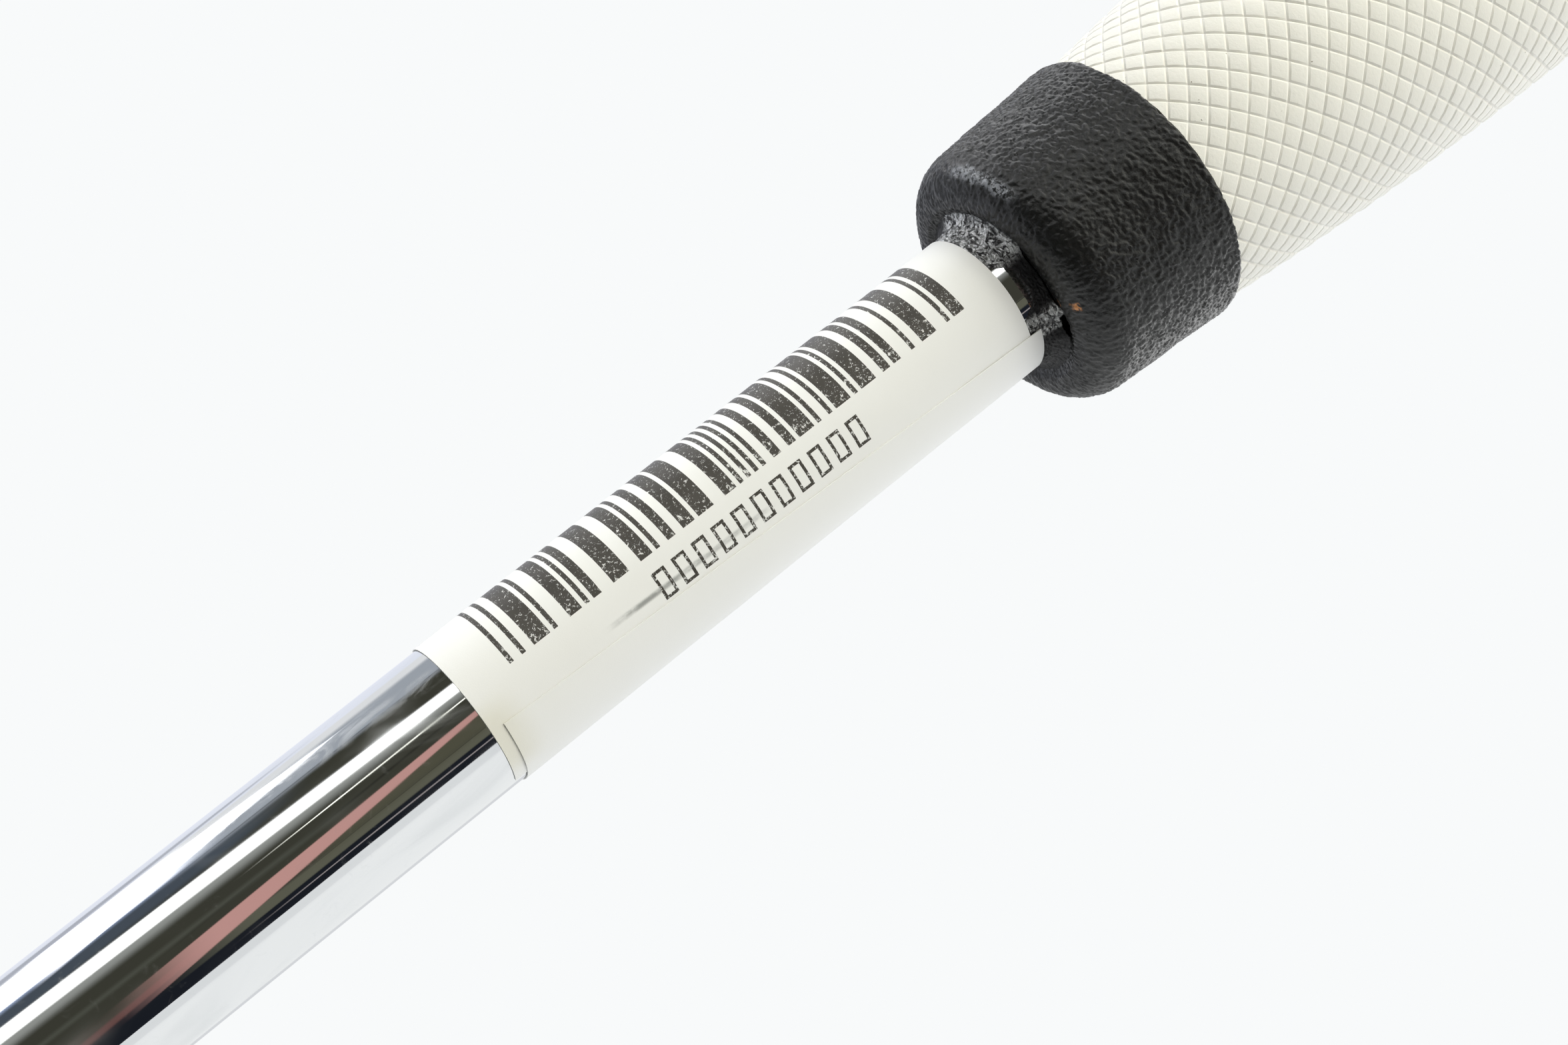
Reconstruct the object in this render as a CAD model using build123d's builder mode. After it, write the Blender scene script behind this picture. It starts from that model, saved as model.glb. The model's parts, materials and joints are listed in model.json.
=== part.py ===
"""White cane: a rigid long cane with a diamond-pattern rubber grip and a rolling tip.

The cane stands along +Z with its tip down. The origin is on the shaft's axis, where the middle of
the hand holds the grip. All sizes are in millimetres.
"""

import os
from math import radians, sin

from build123d import *

# Overall
overall_length = 1220.0
butt_z = 112.0
tip_z = butt_z - overall_length

# Shaft: a thin chrome-plated steel tube, tapered under the hand and straight below
label_mid_z = -150.0
label_mid_radius = 6.425
taper = 0.00368
straight_radius = 5.0
tube_wall = 0.7
taper_end_z = label_mid_z - (label_mid_radius - straight_radius) / taper
shaft_bottom_z = tip_z + 40.0
shaft_top_z = 95.9

# Glue line left between the pieces that are bonded or pushed together, and the gap of a tight seat
glue_gap = 0.02
seat_gap = 0.01

# How far a cutter runs past the face that it leaves by
overcut = 1.0

# Price label: one paper strip wrapped once round the shaft, its outer end lapped over its start
label_bottom_z = -179.2
label_top_z = -125.1
label_thickness = 0.1
label_lap_start = -58.0
label_lap_angle = 45.0

# Collar at the mouth of the grip
collar_lip_z = -123.0
collar_lip_radius = 8.5
collar_throat_z = -122.3
collar_shoulder_radius = 12.05
collar_shoulder_z = -119.5
collar_rim_radius = 12.77
collar_rim_z = -107.6
collar_socket_radius = 10.52
collar_socket_z = -115.7

# Bead of adhesive squeezed out between the collar and the shaft
adhesive_bottom_z = -124.8
adhesive_top_z = -122.6
adhesive_foot = 0.4
adhesive_width = 0.9
adhesive_shoulder_z = -123.1

# Grip: a rubber sleeve over a foam core, taped to the shaft
sleeve_mouth_z = -107.5
sleeve_neck_z = -115.5
sleeve_neck_radius = 10.5
palm_radius = 15.15
palm_start_z = -57.4
palm_end_z = 66.0
mouth_arc_radius = 421.0
flare_arc_radius = 360.0
grip_top_z = 96.0
core_radius = 9.0
tape_thickness = 0.2

# End cap, its screw and the plug that the screw bites
cap_radius = 16.6
cap_top_round = 4.0
cap_bottom_edge = 0.5
cap_spigot_radius = 6.5
cap_spigot_z = 90.2
screw_pocket_radius = 4.5
screw_seat_z = 100.0
screw_head_radius = 3.8
screw_head_height = 2.2
screw_radius = 1.6
screw_end_z = 72.0
screw_point_radius = 0.64
screw_point_length = 2.5
screw_hole_radius = 2.0
drive_slot_width = 0.9
drive_slot_length = 4.4
drive_slot_depth = 1.3
strap_hole_radius = 2.0
strap_hole_z = 104.0
plug_top_z = 90.0
plug_bottom_z = 66.0
plug_hole_spare = 2.0

# Reflective sheeting round the lower shaft
sheeting_thickness = 0.15
white_wrap_top_z = -330.0
white_wrap_bottom_z = -778.0
red_wrap_bottom_z = tip_z + 72.0

# Rolling tip: a nylon roller on two ball bearings
roller_radius = 15.0
roller_height = 36.0
roller_foot_round = 8.0
roller_top_round = 4.0
cavity_radius = 7.5
cavity_floor = 6.0
bearing_inner_radius = 3.0
bearing_outer_radius = 9.5
bearing_width = 6.0
bearing_edge = 0.3
ball_radius = 1.75
ball_count = 7
ball_clearance = 0.03
groove_radius = 1.82
inner_land_radius = 4.9
outer_land_radius = 7.6
cage_thickness = 1.2
cage_width = 5.0
pocket_clearance = 0.1
lower_bearing_z = tip_z + 11.0
upper_bearing_z = tip_z + 24.0
spacer_wall = 1.2
snap_ring_width = 1.0
snap_ring_inner_radius = 8.6
snap_ring_outer_radius = 10.25
snap_ring_opening = 24.0
ring_groove_play = 0.1
dust_cap_bottom_z = tip_z + 32.0
dust_cap_top_z = tip_z + 34.5
dust_cap_clearance = 0.3
dust_cap_rim_width = 1.5
dust_cap_bevel = 0.5
dust_cap_lip_foot = 1.2
dust_cap_lip_top = 0.8
dust_cap_step = 0.6

# Spindle that joins the roller to the shaft
spindle_end_z = tip_z + 8.5
neck_radius = 4.0
neck_top_z = tip_z + 37.0
flange_radius = 6.5
flange_edge = 0.8
spindle_plug_top_z = tip_z + 75.0
spindle_plug_edge = 1.0
journal_edge = 0.3
circlip_width = 1.0
circlip_groove_radius = 2.5
circlip_outer_radius = 4.8
circlip_opening = 80.0
cross_pin_radius = 1.0
cross_pin_z = tip_z + 58.0
cross_pin_wall = 0.5
cross_pin_inset = 0.05


def shaft_radius(z):
    """Outer radius of the shaft at height z."""
    return max(straight_radius, label_mid_radius + taper * (z - label_mid_z))


def turned(outline):
    """A solid of revolution about the shaft's axis, from (radius, z) corners."""
    with BuildPart() as body:
        with BuildSketch(Plane.XZ):
            with BuildLine():
                Polyline(*outline, close=True)
            make_face()
        revolve(axis=Axis.Z)
    return body


def sleeve_on_shaft(bottom, top, inside, outside):
    """A sleeve that follows the shaft's taper, between two heights above its surface."""
    heights = [bottom, top]
    if bottom < taper_end_z < top:
        heights.insert(1, taper_end_z)
    inner = [(shaft_radius(z) + inside, z) for z in heights]
    outer = [(shaft_radius(z) + outside, z) for z in reversed(heights)]
    return turned(inner + outer)


def split_ring(inner, outer, bottom, height, opening):
    """A flat spring ring with a gap, opening degrees wide, on the -Y side."""
    gap = 2 * outer * sin(radians(opening / 2))
    with BuildPart() as ring:
        with BuildSketch(Plane.XY.offset(bottom)):
            Circle(outer)
            Circle(inner, mode=Mode.SUBTRACT)
            with Locations((0, -outer)):
                Rectangle(gap, 2 * outer, mode=Mode.SUBTRACT)
        extrude(amount=height)
    return ring


def save(piece, name):
    """Label a finished piece and write its STEP file."""
    piece.part.label = name
    export_step(piece.part, f"parts/{name}.step")


# --- Shaft -------------------------------------------------------------------------------------

def make_shaft_tube():
    blank = sleeve_on_shaft(shaft_bottom_z, shaft_top_z, -tube_wall, 0)
    with BuildPart() as tube:
        add(blank.part)
        with BuildSketch(Plane.YZ):
            with Locations((0, cross_pin_z)):
                Circle(cross_pin_radius)
        extrude(amount=2 * straight_radius, both=True, mode=Mode.SUBTRACT)
    return tube


def make_price_label():
    wrap = sleeve_on_shaft(label_bottom_z, label_top_z, glue_gap, label_thickness)
    lap_start = Plane.XZ.rotated((0, 0, label_lap_start))
    low = shaft_radius(label_bottom_z) + label_thickness
    high = shaft_radius(label_top_z) + label_thickness
    with BuildPart() as label:
        add(wrap.part)
        with BuildSketch(lap_start):
            with BuildLine():
                Polyline(
                    (low - glue_gap, label_bottom_z),
                    (high - glue_gap, label_top_z),
                    (high + label_thickness, label_top_z),
                    (low + label_thickness, label_bottom_z),
                    close=True,
                )
            make_face()
        revolve(axis=Axis.Z, revolution_arc=label_lap_angle)
    return label


# --- Grip --------------------------------------------------------------------------------------

def make_collar():
    throat_radius = shaft_radius(collar_throat_z) + glue_gap
    socket_throat_radius = shaft_radius(collar_socket_z) + glue_gap
    shoulder_width = collar_shoulder_radius - collar_lip_radius
    shoulder_height = collar_shoulder_z - collar_lip_z
    with BuildPart() as collar:
        with BuildSketch(Plane.XZ):
            with BuildLine():
                EllipticalCenterArc(
                    (collar_lip_radius, collar_shoulder_z),
                    shoulder_width,
                    shoulder_height,
                    start_angle=270,
                    arc_size=90,
                )
                Polyline(
                    (collar_shoulder_radius, collar_shoulder_z),
                    (collar_rim_radius, collar_rim_z),
                    (collar_socket_radius, collar_rim_z),
                    (collar_socket_radius, collar_socket_z),
                    (socket_throat_radius, collar_socket_z),
                    (throat_radius, collar_throat_z),
                    (collar_lip_radius, collar_lip_z),
                )
            make_face()
        revolve(axis=Axis.Z)
    return collar


def make_collar_adhesive():
    bottom_radius = shaft_radius(adhesive_bottom_z)
    top_radius = shaft_radius(adhesive_top_z)
    return turned([
        (bottom_radius + seat_gap, adhesive_bottom_z),
        (bottom_radius + adhesive_foot, adhesive_bottom_z + adhesive_foot),
        (bottom_radius + adhesive_width, adhesive_shoulder_z),
        (top_radius + seat_gap, adhesive_top_z),
    ])


def make_grip_sleeve():
    mouth_drop = (palm_start_z - sleeve_mouth_z) ** 2 / (2 * mouth_arc_radius)
    mouth_mid_drop = mouth_drop / 4
    mouth_mid_z = (palm_start_z + sleeve_mouth_z) / 2
    flare_rise = (grip_top_z - palm_end_z) ** 2 / (2 * flare_arc_radius)
    flare_mid_z = (palm_end_z + grip_top_z) / 2
    bore = core_radius + glue_gap
    with BuildPart() as sleeve:
        with BuildSketch(Plane.XZ):
            with BuildLine():
                ThreePointArc(
                    (palm_radius - mouth_drop, sleeve_mouth_z),
                    (palm_radius - mouth_mid_drop, mouth_mid_z),
                    (palm_radius, palm_start_z),
                )
                Line((palm_radius, palm_start_z), (palm_radius, palm_end_z))
                ThreePointArc(
                    (palm_radius, palm_end_z),
                    (palm_radius + flare_rise / 4, flare_mid_z),
                    (palm_radius + flare_rise, grip_top_z),
                )
                Polyline(
                    (palm_radius + flare_rise, grip_top_z),
                    (bore, grip_top_z),
                    (bore, sleeve_neck_z),
                    (sleeve_neck_radius, sleeve_neck_z),
                    (sleeve_neck_radius, sleeve_mouth_z),
                    (palm_radius - mouth_drop, sleeve_mouth_z),
                )
            make_face()
        revolve(axis=Axis.Z)
    return sleeve


def make_grip_core():
    inside = tape_thickness + glue_gap
    return turned([
        (shaft_radius(sleeve_neck_z) + inside, sleeve_neck_z),
        (core_radius, sleeve_neck_z),
        (core_radius, shaft_top_z),
        (shaft_radius(shaft_top_z) + inside, shaft_top_z),
    ])


def make_end_cap():
    with BuildPart() as cap:
        with BuildSketch(Plane.XY.offset(grip_top_z)):
            Circle(cap_radius)
        extrude(amount=butt_z - grip_top_z)
        fillet(cap.edges().group_by(Axis.Z)[-1], radius=cap_top_round)
        chamfer(cap.edges().group_by(Axis.Z)[0], length=cap_bottom_edge)
        with BuildSketch(Plane.XY.offset(cap_spigot_z)):
            Circle(cap_spigot_radius)
        extrude(amount=grip_top_z - cap_spigot_z)
        with BuildSketch(Plane.XY.offset(screw_seat_z)):
            Circle(screw_pocket_radius)
        extrude(amount=butt_z - screw_seat_z, mode=Mode.SUBTRACT)
        with Locations((0, 0, screw_seat_z)):
            CounterSinkHole(screw_hole_radius, screw_head_radius + glue_gap, counter_sink_angle=90)
        with BuildSketch(Plane.YZ):
            with Locations((0, strap_hole_z)):
                Circle(strap_hole_radius)
        extrude(amount=cap_radius + overcut, both=True, mode=Mode.SUBTRACT)
    return cap


def make_cap_screw():
    blank = turned([
        (0, screw_end_z),
        (screw_point_radius, screw_end_z),
        (screw_radius, screw_end_z + screw_point_length),
        (screw_radius, screw_seat_z - screw_head_height),
        (screw_head_radius, screw_seat_z),
        (0, screw_seat_z),
    ])
    with BuildPart() as screw:
        add(blank.part)
        with BuildSketch(Plane.XY.offset(screw_seat_z)):
            Rectangle(drive_slot_length, drive_slot_width)
            Rectangle(drive_slot_width, drive_slot_length)
        extrude(amount=-drive_slot_depth, mode=Mode.SUBTRACT)
    return screw


def make_tube_plug():
    fit = tube_wall + glue_gap
    blank = turned([
        (0, plug_bottom_z),
        (shaft_radius(plug_bottom_z) - fit, plug_bottom_z),
        (shaft_radius(plug_top_z) - fit, plug_top_z),
        (0, plug_top_z),
    ])
    with BuildPart() as plug:
        add(blank.part)
        with Locations((0, 0, plug_top_z)):
            Hole(screw_radius + glue_gap, depth=plug_top_z - screw_end_z + plug_hole_spare)
    return plug


# --- Rolling tip -------------------------------------------------------------------------------

def make_roller():
    seat_radius = bearing_outer_radius + seat_gap
    seat_bottom = lower_bearing_z - tip_z
    groove_bottom = upper_bearing_z + bearing_width + ring_groove_play / 2
    with BuildPart() as roller:
        with BuildSketch(Plane.XY.offset(tip_z)):
            Circle(roller_radius)
        extrude(amount=roller_height)
        fillet(roller.edges().group_by(Axis.Z)[0], radius=roller_foot_round)
        fillet(roller.edges().group_by(Axis.Z)[-1], radius=roller_top_round)
        with Locations((0, 0, tip_z + roller_height)):
            Hole(seat_radius, depth=roller_height - seat_bottom)
            Hole(cavity_radius, depth=roller_height - cavity_floor)
        with BuildSketch(Plane.XY.offset(groove_bottom)):
            Circle(snap_ring_outer_radius + ring_groove_play / 2)
        extrude(amount=snap_ring_width + ring_groove_play, mode=Mode.SUBTRACT)
    return roller


def make_spindle():
    journal = bearing_inner_radius - seat_gap
    plug = straight_radius - tube_wall - glue_gap
    groove_top = lower_bearing_z - ring_groove_play / 2
    groove_bottom = groove_top - circlip_width - ring_groove_play
    blank = turned([
        (0, spindle_end_z),
        (journal - journal_edge, spindle_end_z),
        (journal, spindle_end_z + journal_edge),
        (journal, groove_bottom),
        (circlip_groove_radius, groove_bottom),
        (circlip_groove_radius, groove_top),
        (journal, groove_top),
        (journal, upper_bearing_z + bearing_width),
        (neck_radius, upper_bearing_z + bearing_width),
        (neck_radius, neck_top_z),
        (flange_radius - flange_edge, neck_top_z),
        (flange_radius, neck_top_z + flange_edge),
        (flange_radius, shaft_bottom_z - flange_edge),
        (flange_radius - flange_edge, shaft_bottom_z),
        (plug, shaft_bottom_z),
        (plug, spindle_plug_top_z - spindle_plug_edge),
        (plug - spindle_plug_edge, spindle_plug_top_z),
        (0, spindle_plug_top_z),
    ])
    with BuildPart() as spindle:
        add(blank.part)
        with BuildSketch(Plane.YZ):
            with Locations((0, cross_pin_z)):
                Circle(cross_pin_radius)
        extrude(amount=2 * straight_radius, both=True, mode=Mode.SUBTRACT)
    return spindle


def make_cross_pin():
    with BuildPart() as pin:
        with BuildSketch(Plane.YZ):
            with Locations((0, cross_pin_z)):
                Circle(cross_pin_radius - seat_gap)
                Circle(cross_pin_radius - cross_pin_wall, mode=Mode.SUBTRACT)
        extrude(amount=straight_radius - cross_pin_inset, both=True)
    return pin


def make_dust_cap():
    inner = neck_radius + dust_cap_clearance
    outer = bearing_outer_radius - seat_gap
    rim = bearing_outer_radius - dust_cap_rim_width
    face_z = dust_cap_top_z - dust_cap_step
    lip_z = dust_cap_top_z + dust_cap_step
    return turned([
        (inner, dust_cap_bottom_z),
        (outer, dust_cap_bottom_z),
        (outer, dust_cap_top_z),
        (rim, dust_cap_top_z),
        (rim - dust_cap_bevel, face_z),
        (neck_radius + dust_cap_lip_foot, face_z),
        (neck_radius + dust_cap_lip_top, lip_z),
        (inner, lip_z),
    ])


def make_spacer(inner, outer):
    bottom = lower_bearing_z + bearing_width
    return turned([
        (inner, bottom),
        (outer, bottom),
        (outer, upper_bearing_z),
        (inner, upper_bearing_z),
    ])


def race(inner, outer, bottom, groove_centre_radius):
    """One bearing ring: a chamfered ring with the balls' groove cut into it."""
    top = bottom + bearing_width
    blank = turned([
        (inner, bottom + bearing_edge),
        (inner + bearing_edge, bottom),
        (outer - bearing_edge, bottom),
        (outer, bottom + bearing_edge),
        (outer, top - bearing_edge),
        (outer - bearing_edge, top),
        (inner + bearing_edge, top),
        (inner, top - bearing_edge),
    ])
    with BuildPart() as ring:
        add(blank.part)
        with BuildSketch(Plane.XZ):
            with Locations((groove_centre_radius, bottom + bearing_width / 2)):
                Circle(groove_radius)
        revolve(axis=Axis.Z, mode=Mode.SUBTRACT)
    return ring


def make_bearing(place, bottom):
    """Write the four pieces of one ball bearing, whose lower face is at height bottom."""
    pitch_radius = (bearing_inner_radius + bearing_outer_radius) / 2
    pocket_radius = ball_radius + pocket_clearance
    groove_inset = groove_radius - ball_radius - ball_clearance
    inner_ring = race(bearing_inner_radius, inner_land_radius, bottom, pitch_radius + groove_inset)
    outer_ring = race(outer_land_radius, bearing_outer_radius, bottom, pitch_radius - groove_inset)
    middle = Plane.XY.offset(bottom + bearing_width / 2)
    with BuildPart(middle) as balls:
        with PolarLocations(pitch_radius, ball_count):
            Sphere(ball_radius)
    with BuildPart(middle) as cage:
        Cylinder(pitch_radius + cage_thickness / 2, cage_width)
        Cylinder(pitch_radius - cage_thickness / 2, cage_width, mode=Mode.SUBTRACT)
        with PolarLocations(pitch_radius, ball_count):
            Cylinder(pocket_radius, 4 * cage_thickness, rotation=(0, 90, 0), mode=Mode.SUBTRACT)
    save(inner_ring, f"{place}_bearing_inner_ring")
    save(outer_ring, f"{place}_bearing_outer_ring")
    save(balls, f"{place}_bearing_balls")
    save(cage, f"{place}_bearing_cage")


# --- Write every piece -------------------------------------------------------------------------

os.makedirs("parts", exist_ok=True)

save(make_shaft_tube(), "shaft_tube")
save(make_price_label(), "price_label")
save(
    sleeve_on_shaft(white_wrap_bottom_z, white_wrap_top_z, seat_gap, sheeting_thickness),
    "white_reflective_wrap",
)
save(
    sleeve_on_shaft(red_wrap_bottom_z, white_wrap_bottom_z, seat_gap, sheeting_thickness),
    "red_reflective_wrap",
)

save(make_collar(), "grip_collar")
save(make_collar_adhesive(), "collar_adhesive")
save(make_grip_sleeve(), "grip_sleeve")
save(make_grip_core(), "grip_core")
save(sleeve_on_shaft(sleeve_neck_z, shaft_top_z, glue_gap, tape_thickness), "grip_tape")
save(make_end_cap(), "grip_end_cap")
save(make_cap_screw(), "cap_screw")
save(make_tube_plug(), "tube_plug")

save(make_roller(), "tip_roller")
save(make_spindle(), "tip_spindle")
save(make_cross_pin(), "spindle_cross_pin")
save(
    split_ring(
        circlip_groove_radius + seat_gap,
        circlip_outer_radius,
        lower_bearing_z - circlip_width - ring_groove_play,
        circlip_width,
        circlip_opening,
    ),
    "spindle_circlip",
)
save(
    split_ring(
        snap_ring_inner_radius,
        snap_ring_outer_radius,
        upper_bearing_z + bearing_width + ring_groove_play,
        snap_ring_width,
        snap_ring_opening,
    ),
    "roller_snap_ring",
)
save(make_dust_cap(), "roller_dust_cap")
save(make_spacer(bearing_inner_radius, bearing_inner_radius + spacer_wall), "inner_spacer")
save(make_spacer(bearing_outer_radius - spacer_wall, bearing_outer_radius), "outer_spacer")
make_bearing("lower", lower_bearing_z)
make_bearing("upper", upper_bearing_z)
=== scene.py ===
"""White cane: the looks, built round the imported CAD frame.

Every length is in metres in the frame's own axes: +Z runs up the shaft and the origin is in the palm.
An angle round the shaft is 0 towards -Y and grows towards +X.
"""
import json
import math
import random

import bmesh
import bpy
import numpy as np
from mathutils import Matrix, Vector, noise


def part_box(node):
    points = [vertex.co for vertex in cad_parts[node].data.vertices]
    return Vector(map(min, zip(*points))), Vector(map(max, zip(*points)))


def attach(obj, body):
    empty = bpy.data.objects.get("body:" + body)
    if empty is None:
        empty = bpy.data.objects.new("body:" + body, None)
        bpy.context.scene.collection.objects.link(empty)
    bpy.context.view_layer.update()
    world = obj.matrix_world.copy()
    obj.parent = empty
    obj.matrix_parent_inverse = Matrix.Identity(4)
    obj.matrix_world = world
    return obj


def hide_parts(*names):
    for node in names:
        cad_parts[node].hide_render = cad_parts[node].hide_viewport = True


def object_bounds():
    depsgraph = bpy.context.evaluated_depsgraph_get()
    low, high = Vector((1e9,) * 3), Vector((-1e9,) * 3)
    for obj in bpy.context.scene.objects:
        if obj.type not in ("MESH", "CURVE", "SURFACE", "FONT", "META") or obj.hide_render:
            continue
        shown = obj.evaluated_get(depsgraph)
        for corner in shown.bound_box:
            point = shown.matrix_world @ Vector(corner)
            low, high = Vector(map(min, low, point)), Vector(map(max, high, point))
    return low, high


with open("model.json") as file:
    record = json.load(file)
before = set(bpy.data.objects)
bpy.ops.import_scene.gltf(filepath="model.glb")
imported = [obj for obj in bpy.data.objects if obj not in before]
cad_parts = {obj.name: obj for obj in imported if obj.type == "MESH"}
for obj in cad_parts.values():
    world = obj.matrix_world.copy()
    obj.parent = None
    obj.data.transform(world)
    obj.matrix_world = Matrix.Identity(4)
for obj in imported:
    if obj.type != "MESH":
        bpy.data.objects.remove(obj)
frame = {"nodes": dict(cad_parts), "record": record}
cad_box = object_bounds()

MM = 0.001

# Places read from the frame
shaft_low, shaft_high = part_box("shaft_tube")
collar_low, collar_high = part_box("grip_collar")
sleeve_low, sleeve_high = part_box("grip_sleeve")
label_low, label_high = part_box("price_label")
tape_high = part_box("grip_tape")[1]
core_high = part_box("grip_core")[1]
pin_low, pin_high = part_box("spindle_cross_pin")
white_low, white_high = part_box("white_reflective_wrap")
red_low, red_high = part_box("red_reflective_wrap")
floor_z = cad_box[0].z

# The shaft tapers above its straight part
SHAFT_TAPER = 0.00368
SHAFT_WALL = 0.7 * MM
STRAIGHT_RADIUS = 5.0 * MM
shaft_top_radius = shaft_high.x
straight_top_z = shaft_high.z - (shaft_top_radius - STRAIGHT_RADIUS) / SHAFT_TAPER
LABEL_MIDDLE = (label_low.z + label_high.z) / 2
SMUDGE_Z = label_low.z - 9 * MM


def shaft_radius(z):
    """Outer radius of the shaft at height z."""
    return max(STRAIGHT_RADIUS, shaft_top_radius + SHAFT_TAPER * (z - shaft_high.z))


def polar(radius, angle, z):
    """A point at an angle in degrees round the shaft."""
    a = math.radians(angle)
    return (radius * math.sin(a), -radius * math.cos(a), z)


# --- Meshes ------------------------------------------------------------------------------------

def add_piece(name, points, faces, materials, stands_for=(), body="cane", sharp=None):
    """Make one smooth-shaded mesh piece that rides on a body and takes the place of CAD nodes."""
    mesh = bpy.data.meshes.new(name)
    mesh.from_pydata([tuple(p) for p in points], [], faces)
    mesh.validate()
    mesh.update()
    for material in materials:
        mesh.materials.append(material)
    mesh.polygons.foreach_set("use_smooth", [True] * len(mesh.polygons))
    piece = bpy.data.objects.new(name, mesh)
    bpy.context.scene.collection.objects.link(piece)
    if sharp is not None:
        mesh.set_sharp_from_angle(angle=math.radians(sharp))
    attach(piece, body)
    if stands_for:
        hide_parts(*stands_for)
    return piece


def ring_faces(rows, columns, closed):
    """Quads between rings of points, row by row. closed joins the last ring to the first."""
    faces = []
    for i in range(rows if closed else rows - 1):
        low, high = i * columns, (i + 1) % rows * columns
        for j in range(columns):
            k = (j + 1) % columns
            faces.append((low + j, low + k, high + k, high + j))
    return faces


def lathe(outline, columns, shape=None):
    """Points of a closed outline of (radius, z) turned round the shaft. shape may move each point."""
    points = []
    for i, (radius, z) in enumerate(outline):
        for j in range(columns):
            angle = 360 * j / columns
            r, height = shape(i, radius, angle, z) if shape else (radius, z)
            points.append(polar(r, angle, height))
    return points


# --- Materials ---------------------------------------------------------------------------------

class Shade:
    """A material's nodes, written as calls. Positions are in millimetres of the frame."""

    def __init__(self, name):
        self.material = bpy.data.materials.new(name)
        self.material.use_nodes = True
        self.nodes = self.material.node_tree.nodes
        self.links = self.material.node_tree.links
        self.surface = self.nodes["Principled BSDF"]
        place = self.nodes.new("ShaderNodeTexCoord").outputs["Object"]
        self.place = self.vector("SCALE", place, scale=1 / MM)

    def put(self, socket, value):
        if isinstance(value, bpy.types.NodeSocket):
            self.links.new(value, socket)
        elif isinstance(value, (int, float)) or len(value) == len(socket.default_value):
            socket.default_value = value
        else:
            socket.default_value = (*value, 1)

    def set(self, **inputs):
        """Set the surface shader's inputs, with spaces written as underscores."""
        for name, value in inputs.items():
            self.put(self.surface.inputs[name.replace("_", " ")], value)
        return self.material

    def vector(self, operation, a, b=None, scale=None):
        node = self.nodes.new("ShaderNodeVectorMath")
        node.operation = operation
        self.put(node.inputs[0], a)
        if b is not None:
            self.put(node.inputs[1], b)
        if scale is not None:
            node.inputs["Scale"].default_value = scale
        return node.outputs["Vector"]

    def math(self, operation, a, b=0.0, clamp=False):
        node = self.nodes.new("ShaderNodeMath")
        node.operation = operation
        node.use_clamp = clamp
        self.put(node.inputs[0], a)
        self.put(node.inputs[1], b)
        return node.outputs[0]

    def axis(self, name, place=None):
        node = self.nodes.new("ShaderNodeSeparateXYZ")
        self.put(node.inputs[0], place or self.place)
        return node.outputs[name]

    def angle(self):
        """The angle round the shaft, in degrees."""
        turn = self.math("ARCTAN2", self.axis("X"), self.math("MULTIPLY", self.axis("Y"), -1.0))
        return self.math("MULTIPLY", turn, 180 / math.pi)

    def noise(self, size, detail=3.0, rough=0.5, warp=0.0, stretch=(1, 1, 1)):
        """Noise whose features are size millimetres across, 0 to 1."""
        node = self.nodes.new("ShaderNodeTexNoise")
        self.put(node.inputs["Vector"], self.vector("MULTIPLY", self.place, stretch))
        self.put(node.inputs["Scale"], 1 / size)
        self.put(node.inputs["Detail"], detail)
        self.put(node.inputs["Roughness"], rough)
        self.put(node.inputs["Distortion"], warp)
        return node.outputs["Fac"]

    def cells(self, size, feature="F1", stretch=(1, 1, 1)):
        node = self.nodes.new("ShaderNodeTexVoronoi")
        node.feature = feature
        self.put(node.inputs["Vector"], self.vector("MULTIPLY", self.place, stretch))
        self.put(node.inputs["Scale"], 1 / size)
        return node.outputs["Distance"]

    def fade(self, value, low, high, to_low=0.0, to_high=1.0):
        """Map a range to another with soft ends."""
        node = self.nodes.new("ShaderNodeMapRange")
        node.interpolation_type = "SMOOTHSTEP"
        self.put(node.inputs["Value"], value)
        self.put(node.inputs["From Min"], low)
        self.put(node.inputs["From Max"], high)
        self.put(node.inputs["To Min"], to_low)
        self.put(node.inputs["To Max"], to_high)
        return node.outputs["Result"]

    def spot(self, value, middle, half, soft):
        """1 within half of middle, falling to 0 over soft."""
        away = self.math("ABSOLUTE", self.math("SUBTRACT", value, middle))
        return self.fade(away, half, half + soft, 1.0, 0.0)

    def mix(self, share, a, b):
        node = self.nodes.new("ShaderNodeMix")
        node.data_type = "RGBA"
        self.put(node.inputs["Factor"], share)
        self.put(node.inputs["A"], a)
        self.put(node.inputs["B"], b)
        return node.outputs["Result"]

    def bump(self, height, depth, strength=1.0, under=None):
        """A normal from a height of 0 to 1 over depth millimetres."""
        node = self.nodes.new("ShaderNodeBump")
        self.put(node.inputs["Height"], height)
        self.put(node.inputs["Distance"], depth * MM)
        self.put(node.inputs["Strength"], strength)
        if under is not None:
            self.put(node.inputs["Normal"], under)
        return node.outputs["Normal"]


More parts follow.
